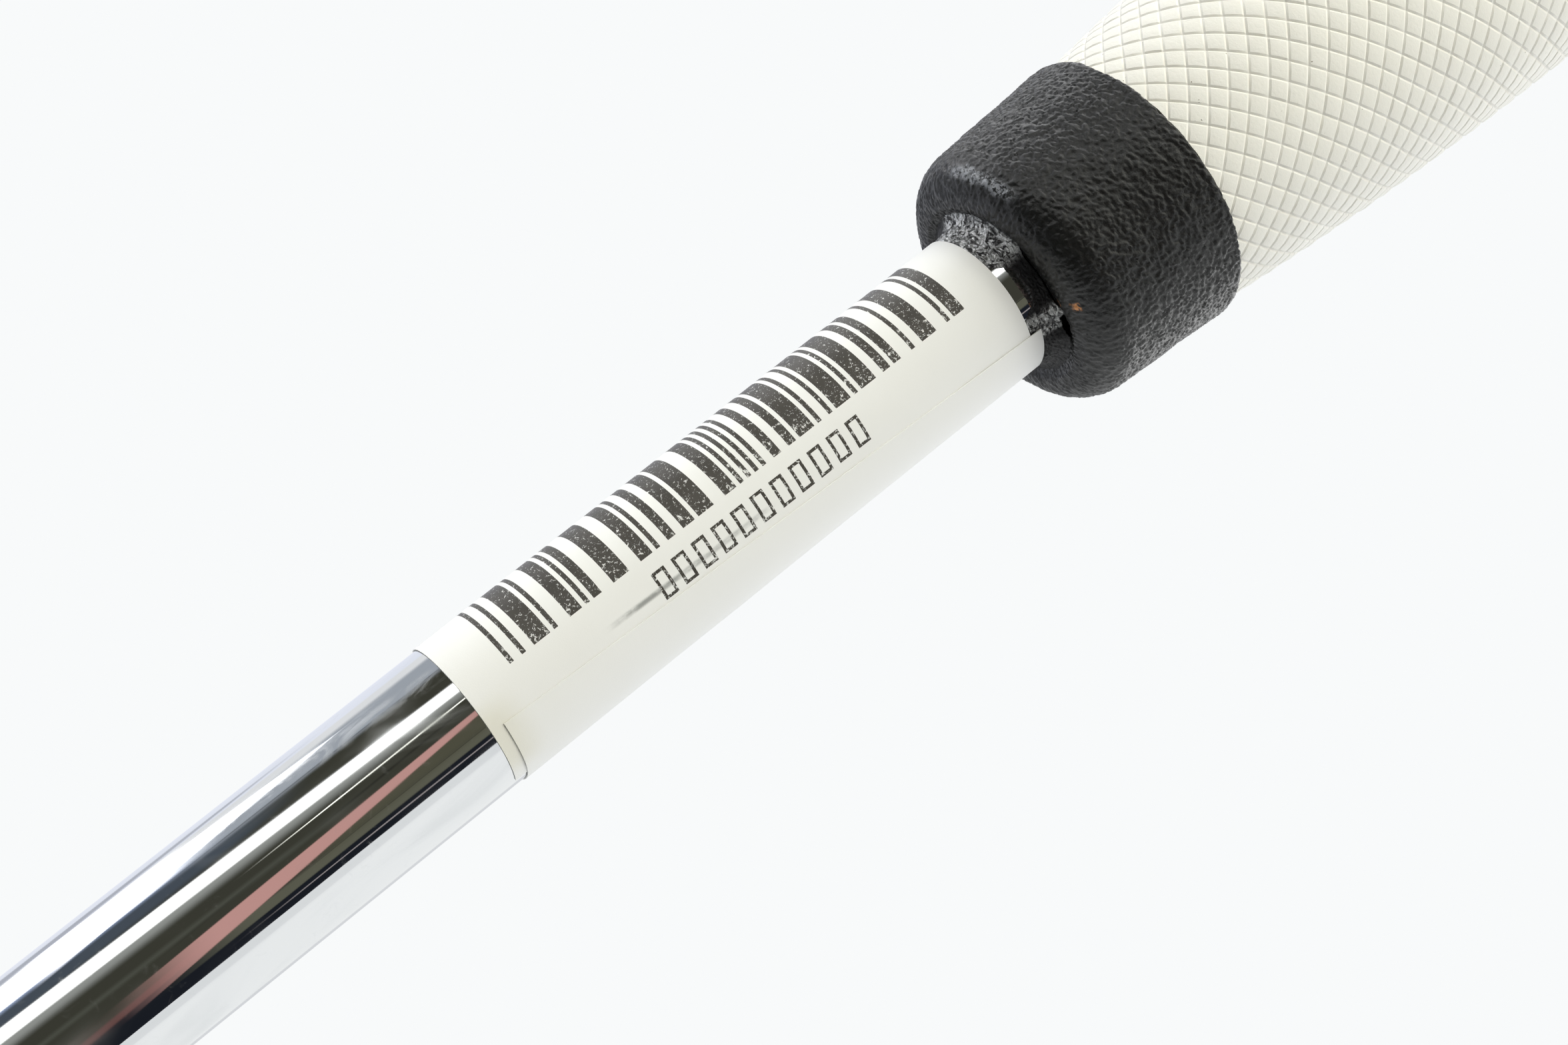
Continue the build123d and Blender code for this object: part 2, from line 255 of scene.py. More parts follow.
def chrome_material():
    """Bright plate with handling haze, fine polishing lines and a slight sway in its mirror."""
    s = Shade("chrome_plate")
    haze = s.fade(s.noise(7, 3, 0.5, 1.6, (1, 1, 0.4)), 0.40, 0.76)
    prints = s.fade(s.noise(2.2, 4, 0.6, 2.0), 0.54, 0.82)
    dust = s.fade(s.noise(0.12, 1, 0.5), 0.78, 0.84)
    film = s.math("MAXIMUM", s.math("MULTIPLY", haze, 0.6), s.math("MULTIPLY", prints, 0.4))
    above = s.math("SUBTRACT", s.axis("Z"), SMUDGE_Z / MM)
    smudge = s.spot(s.math("SUBTRACT", s.angle(), s.math("MULTIPLY", above, 0.7)), -42, 3, 8)
    smudge = s.math("MULTIPLY", smudge, s.spot(above, 0, 6, 8))
    smudge = s.math("MULTIPLY", smudge, s.fade(s.noise(1.5, 4, 0.65, 1.8, (1, 1, 0.3)), 0.34, 0.66))
    film = s.math("MAXIMUM", film, smudge)
    rough = s.math("ADD", s.math("MULTIPLY", film, 0.15), s.math("MULTIPLY", dust, 0.08))
    sway = s.bump(s.noise(11, 2, 0.4, 0, (1, 1, 0.3)), 0.035)
    lines = s.noise(0.25, 2, 0.5, 0, (1, 1, 0.02))
    return s.set(
        Base_Color=s.mix(film, (0.87, 0.88, 0.89), (0.78, 0.80, 0.82)),
        Metallic=s.fade(film, 0, 1, 1.0, 0.8),
        Roughness=s.math("ADD", rough, 0.03),
        Normal=s.bump(lines, 0.0006, under=sway),
    )


def paper_material(printed):
    """Coated label paper. Printed makes it the ink's dark brown, worn through in specks."""
    s = Shade("label_ink" if printed else "label_paper")
    tone = s.noise(6, 3, 0.5)
    paper = s.mix(tone, (0.86, 0.865, 0.84), (0.90, 0.905, 0.895))
    z, angle = s.axis("Z"), s.angle()
    grain = s.bump(s.noise(0.09, 3, 0.6), 0.006)
    if printed:
        wear = s.noise(0.27, 5, 0.72, 0.6)
        fine = s.noise(0.16, 3, 0.7, 0, (1, 1, 0.8))
        ends = s.fade(angle, -34, -6)
        limit = s.math("SUBTRACT", 0.61, s.math("MULTIPLY", ends, 0.045))
        bare = s.fade(s.math("SUBTRACT", wear, limit), 0.0, 0.012)
        pricks = s.fade(fine, 0.665, 0.685)
        shows = s.math("MAXIMUM", bare, pricks)
        ink = s.mix(s.noise(1.4, 3, 0.6), (0.038, 0.034, 0.028), (0.062, 0.056, 0.046))
        return s.set(
            Base_Color=s.mix(s.math("MULTIPLY", shows, 0.85), ink, paper),
            Roughness=s.fade(shows, 0, 1, 0.42, 0.6),
            Normal=grain,
        )
    middle = LABEL_MIDDLE / MM
    streak_line = s.math("SUBTRACT", angle, s.math("MULTIPLY", s.math("SUBTRACT", z, middle), 0.25))
    streak = s.math("MULTIPLY", s.spot(streak_line, 18.4, 0.5, 2.4), s.spot(z, middle - 7.6, 6.0, 3.0))
    streak = s.math("MULTIPLY", streak, s.fade(z, middle, middle - 12.0, 0.45, 1.0))
    streak = s.math("MULTIPLY", streak, s.fade(s.noise(1.2, 4, 0.7, 0, (1, 1, 0.4)), 0.25, 0.6))
    grime = s.fade(s.noise(1.1, 5, 0.75), 0.62, 0.85)
    glue = s.math("MULTIPLY", s.fade(z, label_low.z / MM + 3.5, label_low.z / MM), s.spot(angle, 30, 14, 22))
    paper = s.mix(s.math("MULTIPLY", glue, 0.35), paper, (0.66, 0.62, 0.42))
    paper = s.mix(s.math("MULTIPLY", grime, 0.12), paper, (0.42, 0.42, 0.36))
    return s.set(
        Base_Color=s.mix(s.math("MULTIPLY", streak, 0.75), paper, (0.16, 0.17, 0.16)),
        Roughness=s.fade(tone, 0.3, 0.7, 0.5, 0.62),
        Normal=grain,
    )


def collar_material():
    """Black wrinkled rubber: satin, greyer on its ridges, scuffed pale on its lower edge."""
    s = Shade("collar_rubber")
    z, angle = s.axis("Z"), s.angle()
    tone = s.noise(0.5, 4, 0.6)
    edge_z = s.math("ADD", s.math("MULTIPLY", s.noise(1.5, 2, 0.5), 0.8), collar_low.z / MM + 0.95)
    scuff = s.math("MULTIPLY", s.spot(z, edge_z, 0.14, 0.5), s.spot(angle, -47, 12, 12))
    scuff = s.math("MULTIPLY", scuff, s.fade(s.noise(0.4, 4, 0.75), 0.42, 0.54))
    colour = s.mix(tone, (0.0075, 0.008, 0.008), (0.014, 0.0145, 0.0145))
    colour = s.mix(s.math("MULTIPLY", scuff, 0.8), colour, (0.46, 0.48, 0.52))
    crumb = s.math("MULTIPLY", s.spot(z, collar_low.z / MM + 0.34, 0.06, 0.16), s.spot(angle, 29, 1.2, 1.4))
    crumb = s.math("MULTIPLY", crumb, s.fade(s.noise(0.16, 2, 0.6, 0, (0.4, 0.4, 1)), 0.35, 0.5))
    grain = s.bump(s.noise(0.14, 3, 0.6), 0.035)
    return s.set(
        Base_Color=s.mix(crumb, colour, (0.80, 0.33, 0.10)),
        Roughness=s.fade(tone, 0.3, 0.7, 0.27, 0.42),
        Specular_IOR_Level=0.48,
        Sheen_Weight=0.12,
        Sheen_Roughness=0.35,
        Normal=grain,
    )


def adhesive_material():
    """Dark adhesive, silvery where it has picked up metal dust."""
    s = Shade("collar_adhesive")
    left = s.spot(s.angle(), -50, 34, 10)
    right = s.math("MULTIPLY", s.spot(s.angle(), 40, 7, 6), 0.9)
    dust = s.fade(s.noise(0.7, 6, 0.8, 1.2, (1, 1, 1.6)), 0.46, 0.53)
    silver = s.math("MULTIPLY", dust, s.math("MAXIMUM", left, right))
    grain = s.bump(s.noise(0.3, 5, 0.75, 0.8), 0.16)
    return s.set(
        Base_Color=s.mix(silver, (0.008, 0.008, 0.009), (0.78, 0.79, 0.78)),
        Metallic=s.math("MULTIPLY", silver, 0.9),
        Roughness=s.fade(silver, 0, 1, 0.3, 0.18),
        Normal=grain,
    )


def grip_material(groove):
    """Warm white rubber with a few specks of dirt. Groove makes it a little darker and greyer: painted shade for the
    walls of a groove.
    """
    s = Shade("grip_groove_shade" if groove else "grip_rubber")
    tone = s.noise(5, 4, 0.6)
    dirt = s.fade(s.noise(0.45, 2, 0.5), 0.735, 0.76)
    rare = s.fade(s.noise(3.1, 2, 0.5), 0.52, 0.6)
    warm = s.mix(tone, (0.875, 0.866, 0.80), (0.90, 0.892, 0.84))
    # Painted shade: the groove walls get the same rubber, a little darker and greyer
    if groove:
        warm = s.mix(s.fade(s.noise(2.4, 3, 0.6), 0.3, 0.7), (0.856, 0.842, 0.775), (0.89, 0.88, 0.825))
    return s.set(
        Base_Color=s.mix(s.math("MULTIPLY", dirt, rare), warm, (0.2, 0.17, 0.12)),
        Roughness=s.fade(tone, 0.3, 0.7, 0.5, 0.62),
        Specular_IOR_Level=0.35,
        Subsurface_Weight=0.06,
        Subsurface_Radius=(0.0012, 0.001, 0.0008),
        Normal=s.bump(s.noise(0.35, 4, 0.65), 0.03),
    )


def plain_material(name, low, high, rough, metal=0.0, grain=0.3, depth=0.01, stretch=(1, 1, 1), **more):
    """A moulded or turned finish: a tone that drifts between two colours over a fine grain."""
    s = Shade(name)
    tone = s.noise(4, 4, 0.6)
    fine = s.noise(grain, 4, 0.6, 0, stretch)
    return s.set(
        Base_Color=s.mix(tone, low, high),
        Metallic=metal,
        Roughness=s.fade(fine, 0.25, 0.75, rough - 0.08, rough + 0.08),
        Normal=s.bump(fine, depth),
        **more,
    )


def sheeting_material(name, low, high):
    """Reflective sheeting: fine cells under a clear gloss."""
    s = Shade(name)
    cells = s.fade(s.cells(0.9, "DISTANCE_TO_EDGE"), 0.02, 0.12)
    tone = s.noise(14, 4, 0.6)
    worn = s.fade(s.noise(1.6, 5, 0.7, 0.5), 0.66, 0.74)
    face = s.mix(cells, high, low)
    return s.set(
        Base_Color=s.mix(s.math("MULTIPLY", worn, 0.35), s.mix(tone, face, low), (0.45, 0.44, 0.42)),
        Roughness=s.fade(tone, 0.3, 0.7, 0.28, 0.4),
        Coat_Weight=0.4,
        Coat_Roughness=0.12,
        Normal=s.bump(cells, 0.004),
    )


def roller_material():
    """White nylon, scuffed grey in rings where it rolls and a little dusty above."""
    s = Shade("roller_nylon")
    z = s.axis("Z")
    tone = s.noise(4, 4, 0.6)
    nylon = s.mix(tone, (0.79, 0.79, 0.76), (0.86, 0.86, 0.84))
    rings = s.fade(s.noise(1.6, 5, 0.7, 0.3, (0.35, 0.35, 3)), 0.5, 0.66)
    foot = s.spot(z, floor_z / MM + 7, 5, 9)
    scuff = s.math("MULTIPLY", rings, foot)
    chips = s.fade(s.noise(0.5, 3, 0.6), 0.68, 0.72)
    scuff = s.math("MAXIMUM", s.math("MULTIPLY", scuff, 0.55), s.math("MULTIPLY", chips, s.math("MULTIPLY", foot, 0.6)))
    grain = s.bump(s.noise(0.6, 4, 0.6), 0.03)
    return s.set(
        Base_Color=s.mix(scuff, nylon, (0.34, 0.33, 0.30)),
        Roughness=s.fade(tone, 0.3, 0.7, 0.38, 0.54),
        Subsurface_Weight=0.08,
        Subsurface_Radius=(0.0015, 0.0014, 0.0012),
        Normal=s.bump(s.noise(0.3, 2, 0.5, 0, (0.2, 0.2, 4)), 0.012, under=grain),
    )


STEEL_LINES = (1, 1, 14)
materials = {
    "chrome_tube": chrome_material(),
    "label_paper": paper_material(False),
    "collar_rubber": collar_material(),
    "adhesive": adhesive_material(),
    "grip_rubber": grip_material(False),
    "core_foam": plain_material("core_foam", (0.12, 0.12, 0.125), (0.18, 0.18, 0.185), 0.75, grain=0.5, depth=0.06),
    "tape": plain_material("grip_tape", (0.70, 0.66, 0.52), (0.78, 0.75, 0.62), 0.6, grain=0.4),
    "cap_plastic": plain_material("cap_plastic", (0.60, 0.585, 0.53), (0.68, 0.665, 0.61), 0.44, grain=0.3, depth=0.03),
    "screw_steel": plain_material(
        "screw_steel", (0.58, 0.58, 0.57), (0.68, 0.68, 0.67), 0.3, 1.0, 0.2, 0.004, STEEL_LINES
    ),
    "plug_plastic": plain_material("plug_plastic", (0.03, 0.03, 0.03), (0.05, 0.05, 0.05), 0.5),
    "white_sheeting": sheeting_material("white_sheeting", (0.84, 0.85, 0.86), (0.90, 0.905, 0.91)),
    "red_sheeting": sheeting_material("red_sheeting", (0.50, 0.012, 0.018), (0.62, 0.03, 0.035)),
    "spindle_steel": plain_material(
        "spindle_steel", (0.60, 0.60, 0.61), (0.70, 0.70, 0.71), 0.26, 1.0, 0.25, 0.004, STEEL_LINES
    ),
    "spring_steel": plain_material("spring_steel", (0.10, 0.10, 0.11), (0.16, 0.16, 0.17), 0.36, 1.0, 0.2),
    "bearing_steel": plain_material(
        "bearing_steel", (0.66, 0.66, 0.67), (0.74, 0.74, 0.75), 0.16, 1.0, 0.25, 0.002, STEEL_LINES
    ),
    "cage_nylon": plain_material("cage_nylon", (0.66, 0.58, 0.40), (0.72, 0.66, 0.48), 0.45),
    "roller_nylon": roller_material(),
    "seal_rubber": plain_material("seal_rubber", (0.02, 0.02, 0.02), (0.035, 0.035, 0.035), 0.5),
}
label_ink = paper_material(True)
# A darker copy of the grip rubber: painted shade for the groove walls
grip_groove_shade = grip_material(True)

for node, piece in frame["nodes"].items():
    part = next(p for p in frame["record"]["subparts"] if p["node"] == node)
    piece.data.materials.clear()
    piece.data.materials.append(materials[part["material_slot"]])


# --- Shaft -------------------------------------------------------------------------------------

SHAFT_COLUMNS = 192


def drill(piece, z, radius):
    """Cut a hole right through a piece, along X at height z."""
    shape = bmesh.new()
    across = Matrix.Translation((0, 0, z)) @ Matrix.Rotation(math.radians(90), 4, "Y")
    bmesh.ops.create_cone(
        shape, cap_ends=True, segments=48, radius1=radius, radius2=radius, depth=20 * MM, matrix=across
    )
    mesh = bpy.data.meshes.new("drill")
    shape.to_mesh(mesh)
    shape.free()
    cutter = bpy.data.objects.new("drill", mesh)
    bpy.context.scene.collection.objects.link(cutter)
    cut = piece.modifiers.new("hole", "BOOLEAN")
    cut.operation = "DIFFERENCE"
    cut.solver = "EXACT"
    cut.object = cutter
    holed = bpy.data.meshes.new_from_object(piece.evaluated_get(bpy.context.evaluated_depsgraph_get()))
    piece.modifiers.remove(cut)
    piece.data = holed
    holed.set_sharp_from_angle(angle=math.radians(30))
    bpy.data.objects.remove(cutter)
    bpy.data.meshes.remove(mesh)


def make_shaft():
    """The plated tube, with the roll pin's hole drilled through its lower end."""
    pin_z = (pin_low.z + pin_high.z) / 2
    pin_radius = (pin_high.z - pin_low.z) / 2
    heights = [
        shaft_low.z,
        pin_z - 4 * MM,
        pin_z + 4 * MM,
        straight_top_z,
        *np.linspace(label_low.z, label_high.z, 4),
        shaft_high.z,
    ]
    outer = [(shaft_radius(z), z) for z in heights]
    inner = [(shaft_radius(z) - SHAFT_WALL, z) for z in reversed(heights)]
    outline = outer + inner
    points = lathe(outline, SHAFT_COLUMNS)
    faces = ring_faces(len(outline), SHAFT_COLUMNS, True)
    shaft = add_piece("shaft", points, faces, [materials["chrome_tube"]], ["shaft_tube"], sharp=30)
    drill(shaft, pin_z, pin_radius + 0.05 * MM)
    return shaft


# --- Reflective sheeting ----------------------------------------------------------------------

WRAP_LAP = 28.0


def make_wrap(name, low, high, seam, slot_name, node):
    """Sheeting rolled once round the shaft, its edge lapped over its start along a straight seam."""
    thick = high.x - STRAIGHT_RADIUS
    turn = np.concatenate([[0.0, 0.5], np.linspace(6, 360 - 6, 118), [359.5, 360.0, 360 + 0.4 * WRAP_LAP, 360 + WRAP_LAP]])
    count = len(turn)
    heights = np.linspace(low.z, high.z, 30)
    outside, inside = [], []
    for z in heights:
        for t in turn:
            wave = 0.5 + 0.5 * noise.noise(Vector((seam, t / 40, z / (40 * MM))))
            rise = 0.5 * thick * min(max((t - 340) / 20, 0.0), 1.0)
            radius = STRAIGHT_RADIUS + 0.01 * MM + rise + 0.03 * MM * wave * min(rise / thick, 1)
            angle = seam - t
            inside.append(polar(radius, angle, z))
            outside.append(polar(radius + 0.5 * thick, angle, z))
    half = len(outside)
    points = outside + inside
    faces = []
    rows = len(heights)
    for i in range(rows - 1):
        for j in range(count - 1):
            a, b = i * count + j, (i + 1) * count + j
            faces.append((a, b, b + 1, a + 1))
            faces.append((half + a, half + a + 1, half + b + 1, half + b))
        a, b = i * count, (i + 1) * count
        faces.append((b, a, half + a, half + b))
        a, b = a + count - 1, b + count - 1
        faces.append((a, b, half + b, half + a))
    last = (rows - 1) * count
    for j in range(count - 1):
        faces.append((j, j + 1, half + j + 1, half + j))
        faces.append((last + j + 1, last + j, half + last + j, half + last + j + 1))
    wrap = add_piece(name, points, faces, [materials[slot_name]], [node], sharp=40)
    return wrap


# --- Label -------------------------------------------------------------------------------------

MODULE = 0.375 * MM
BAR_MODULES = 123
MARK_COUNT = 11


def bar_edges(low):
    """Edges of the printed bars along the label: random widths that spell nothing."""
    dice = random.Random(20)
    edges, at = [], 0
    while at < BAR_MODULES - 3:
        bar = dice.choice((1, 1, 2, 3, 4))
        edges.append((low + at * MODULE, low + (at + bar) * MODULE))
        at += bar + dice.choice((1, 1, 2, 3))
    stretch = BAR_MODULES * MODULE / (edges[-1][1] - low)
    return [(low + (a - low) * stretch, low + (b - low) * stretch) for a, b in edges]


def make_label():
    """A paper strip wound a little askew once round the shaft, its end lapped over its start."""
    thick = 0.1 * MM
    lap = 50.0
    drift = 1.1 * MM
    level = 0.55
    length = label_high.z - label_low.z
    bars = bar_edges(label_low.z + 4.1 * MM)
    marks_low, marks_high = label_low.z + 16.6 * MM, label_low.z + 38.2 * MM
    pitch = (marks_high - marks_low) / MARK_COUNT
    stroke = 0.26 * MM
    marks = []
    for i in range(MARK_COUNT):
        left = marks_low + pitch * i
        marks.append((left, left + 1.25 * MM))
    levels = {label_low.z, label_high.z}
    levels.update(z for bar in bars for z in bar)
    levels.update(z for low, high in marks for z in (low, low + stroke, high - stroke, high))
    levels.update(np.linspace(label_low.z, label_high.z, 28)[1:-1])
    rows = sorted(levels)

    def seam(z):
        return 21.5 + 20.0 * (z - label_low.z - 4 * MM) / (50 * MM)

    def print_end(z):
        return -8.6 + 3.5 * (z - label_low.z) / length

    names = []
    angles = []
    for z in rows:
        end = print_end(z)
        # Columns run from the hidden start of the strip to the seam, once round and a lap further
        places = [
            (seam(z) + lap, 1),
            (end + 31.5, 12),
            (end + 29.3, 1),
            (end + 13.2, 6),
            (end + 11.0, 1),
            (end, 4),
            (-104.0, 64),
            (seam(z) + lap - 350, 110),
            (seam(z) + lap - 372, 12),
            (seam(z) - 360, 20),
        ]
        turn = [places[0][0]]
        for (a, _), (b, count) in zip(places, places[1:]):
            turn += [a + (b - a) * k / count for k in range(1, count + 1)]
        angles.append(turn)
        if not names:
            names = ["lap"] * 12 + ["foot"] + ["side"] * 6 + ["head"] + ["gap"] * 4 + ["bars"] * 64
            names += ["back"] * (len(turn) - 1 - len(names))
    count = len(angles[0])

    def lift(z, angle):
        """Layers of paper under this point: none at first, one where the strip passes its start."""
        start = seam(z) + lap - 360
        return min(max((start + 12 - angle) / 22, 0.0), 1.0)

    outside, inside = [], []
    for i, z in enumerate(rows):
        for angle in angles[i]:
            turned = (seam(z) + lap - angle) / 360
            height = z + drift * (turned - level)
            curl = 0.03 * MM * noise.noise(Vector((angle / 25, z / (9 * MM), 3)))
            under = 0.02 * MM + thick * lift(z, angle) * 1.1
            radius = shaft_radius(height) + under + max(curl, 0)
            outside.append(polar(radius + thick, angle, height))
            inside.append(polar(radius, angle, height))
    points = outside + inside
    half = len(outside)
    faces, inked = [], []
    in_bar = [any(low <= (a + b) / 2 <= high for low, high in bars) for a, b in zip(rows, rows[1:])]
    for i in range(len(rows) - 1):
        middle = (rows[i] + rows[i + 1]) / 2
        mark = next(((low, high) for low, high in marks if low < middle < high), None)
        upright = mark and (middle < mark[0] + stroke or middle > mark[1] - stroke)
        for j in range(count - 1):
            a, b = i * count + j, (i + 1) * count + j
            faces.append((a, b, b + 1, a + 1))
            inked.append(
                (names[j] == "bars" and in_bar[i])
                or (names[j] in ("head", "foot") and mark is not None)
                or (names[j] == "side" and bool(upright))
            )
            faces.append((half + a, half + a + 1, half + b + 1, half + b))
            inked.append(False)
    last = (len(rows) - 1) * count
    for j in range(count - 1):
        faces.append((j, j + 1, half + j + 1, half + j))
        faces.append((last + j + 1, last + j, half + last + j, half + last + j + 1))
        inked += [False, False]
    for i in range(len(rows) - 1):
        a, b = i * count, (i + 1) * count
        faces.append((b, a, half + a, half + b))
        a, b = a + count - 1, b + count - 1
        faces.append((a, b, half + b, half + a))
        inked += [False, False]
    label = add_piece(
        "label", points, faces, [materials["label_paper"], label_ink], ["price_label"], sharp=50
    )
    label.data.polygons.foreach_set("material_index", [int(x) for x in inked])
    return label


# --- Grip --------------------------------------------------------------------------------------

OFF_CENTRE = 0.17 * MM
COLLAR_COLUMNS = 520
WRINKLE_DEPTH = 0.115 * MM


def wrinkle(point, scale):
    """Leathery wrinkles, about -1 to 1: rounded bumps between narrow winding valleys."""
    bend = noise.noise_vector(point * (0.5 / scale)) * (0.5 * scale)
    p = (point + bend) / scale
    bumps = min(3.2 * abs(noise.noise(p)), 1.0)
    fine = noise.noise(p * 2.3 + Vector((7, 1, 4)))
    return 1.3 * bumps - 0.8 + 0.4 * fine


def make_collar():
    """The black rubber collar: wrinkled like leather, its lower edge rolled in to the shaft."""
    lip, rim = collar_low.z, collar_high.z
    rim_radius = collar_high.x
    lip_radius = 8.5 * MM
    shoulder_radius = 12.05 * MM
    shoulder_z = lip + 3.5 * MM
    throat_z = lip + 0.7 * MM
    throat = shaft_radius(throat_z) + 0.1 * MM
    socket = 10.56 * MM
    outline, amount = [], []

    def run(points, ridges):
        outline.extend(points)
        amount.extend([ridges] * len(points))

    steps = 26
    for k in range(steps):
        t = k / steps
        run([(throat + (lip_radius - throat) * t, throat_z + (lip - throat_z) * t ** 1.4)], 0.35 + 0.3 * t)
    steps = 46
    for k in range(steps):
        t = math.pi / 2 * k / steps
        radius = lip_radius + (shoulder_radius - lip_radius) * math.sin(t)
        run([(radius, shoulder_z - (shoulder_z - lip) * math.cos(t))], 0.65 + 0.35 * k / steps)
    steps = 84
    rounding = 0.3 * MM
    for k in range(steps):
        t = k / steps
        height = shoulder_z + (rim - rounding - shoulder_z) * t
        run([(shoulder_radius + (rim_radius - shoulder_radius) * t, height)], 1.0)
    steps = 8
    for k in range(steps + 1):
        t = math.pi / 2 * k / steps
        run([(rim_radius - rounding * (1 - math.cos(t)), rim - rounding * (1 - math.sin(t)))], 0.7)
    run([(socket + 0.9 * MM, rim - 0.05 * MM)], 0.3)
    run([(socket + 0.4 * MM, rim - 0.1 * MM)], 0.0)
    run([(socket, rim - 0.3 * MM)], 0.0)
    run([(socket, rim - 7.9 * MM)], 0.0)
    run([(shaft_radius(rim - 7.9 * MM) + 0.06 * MM, rim - 7.9 * MM)], 0.0)
    normals = []
    count = len(outline)
    for k in range(count):
        a, b = outline[k - 1], outline[(k + 1) % count]
        along = Vector((b[0] - a[0], b[1] - a[1])).normalized()
        normals.append((along.y, -along.x))

    def shape(k, radius, angle, z):
        if amount[k] == 0:
            return radius, z
        arc = math.radians(angle) * 12
        at = Vector(polar(radius, angle, z)) / MM
        if k < 72:
            # On the rolled edge the wrinkles run in towards the shaft
            along = 0.5 * (k - 26) * 0.12
            grain = wrinkle(Vector((arc * 1.1, along, 31)), 0.42)
            side = wrinkle(at, 0.43)
            grain += (side - grain) * min(max((k - 40) / 30, 0), 1)
        else:
            grain = wrinkle(at, 0.43)
        swell = 0.10 * MM * noise.noise(at / 5) + 0.05 * MM * noise.noise(at / 1.7)
        out = amount[k] * (WRINKLE_DEPTH * grain + swell)
        radius += out * normals[k][0]
        z += out * normals[k][1]
        if k < 30:
            # A torn gap between the throat and the shaft, on the lower right of the view
            gap = math.exp(-((angle - 47) / 8) ** 4) * max(0.0, 1 - k / 24)
            radius += 1.25 * MM * gap
            z += 0.4 * MM * gap
            turn = (angle + 180) % 360 - 180
            crack = math.exp(-((turn + 58) / 7) ** 4) + 0.7 * math.exp(-((turn + 36) / 4) ** 4)
            radius += 0.4 * MM * crack * max(0.0, 1 - k / 14)
        near_rim = min(max((k - 100) / 56, 0.0), 1.0) ** 2
        z += near_rim * (0.3 * MM * noise.noise(Vector((arc / 5, 5, 2))) - 0.16 * MM)
        z += near_rim * 0.08 * MM * noise.noise(Vector((arc / 0.6, 8, 2)))
        return radius, z

    points = [
        (x + OFF_CENTRE * min(1, amount[i // COLLAR_COLUMNS] * 3), y, z)
        for i, (x, y, z) in enumerate(lathe(outline, COLLAR_COLUMNS, shape))
    ]
    faces = ring_faces(count, COLLAR_COLUMNS, True)
    collar = add_piece("collar", points, faces, [materials["collar_rubber"]], ["grip_collar"])
    return collar


def make_adhesive():
    """Adhesive squeezed out under the collar: a thin smear on the shaft that swells to a ragged bead."""
    columns = 420
    rows = 44
    top = collar_low.z + 0.45 * MM

    def lowest(angle):
        """Height of the smear's lower edge: it leaves bare chrome at the front."""
        front = math.exp(-((angle - 6) / 21) ** 4)
        ragged = noise.noise(Vector((angle / 9, 2, 8))) + 0.6 * noise.noise(Vector((angle / 2.5, 6, 1)))
        return collar_low.z + (-2.75 + 2.1 * front + 0.4 * ragged) * MM

    def shape(k, t, angle, z):
        turn = (angle + 180) % 360 - 180
        low = lowest(turn)
        height = low + (top - low) * t
        at = Vector(polar(6.6, turn, height / MM))
        reach = (height - (collar_low.z - 2.4 * MM)) / (top - collar_low.z + 2.4 * MM)
        torn = math.exp(-((turn - 47) / 9) ** 4)
        hollow = math.exp(-((turn - 10) / 24) ** 6)
        body = (1.55 - 1.1 * torn - 1.4 * hollow) * max(reach, 0) ** 5
        crinkle = 0.13 * wrinkle(at, 0.32) * min(1, 6 * t) * (0.4 + 0.6 * max(reach, 0))
        if k >= rows:
            return shaft_radius(height) + 0.004 * MM, height
        return shaft_radius(height) + (0.05 + body + max(-0.03, crinkle)) * MM, height

    outline = [(k / (rows - 1), 0) for k in range(rows)] + [(1.0, 0), (0.0, 0)]
    points = lathe(outline, columns, shape)
    faces = ring_faces(len(outline), columns, True)
    bead = add_piece("adhesive_bead", points, faces, [materials["adhesive"]], ["collar_adhesive"])
    return bead


PATTERN_STARTS = 32
PATTERN_PITCH = 2.25 * MM
GROOVE_DEPTH = 0.19 * MM
CELL_STEPS = (0.0, 0.1, 0.5, 0.9)
CELL_HEIGHTS = (0.0, 0.7, 1.0, 0.7)


def grip_radius(z):
    """Outer radius of the grip: curving out from its mouth, straight in the palm, flared at its end."""
    palm = 15.15 * MM
    palm_start, palm_end = -57.4 * MM, 66.0 * MM
    if z < palm_start:
        return palm - (palm_start - z) ** 2 / (2 * 0.421)
    if z > palm_end:
        return palm + (z - palm_end) ** 2 / (2 * 0.360)
    return palm


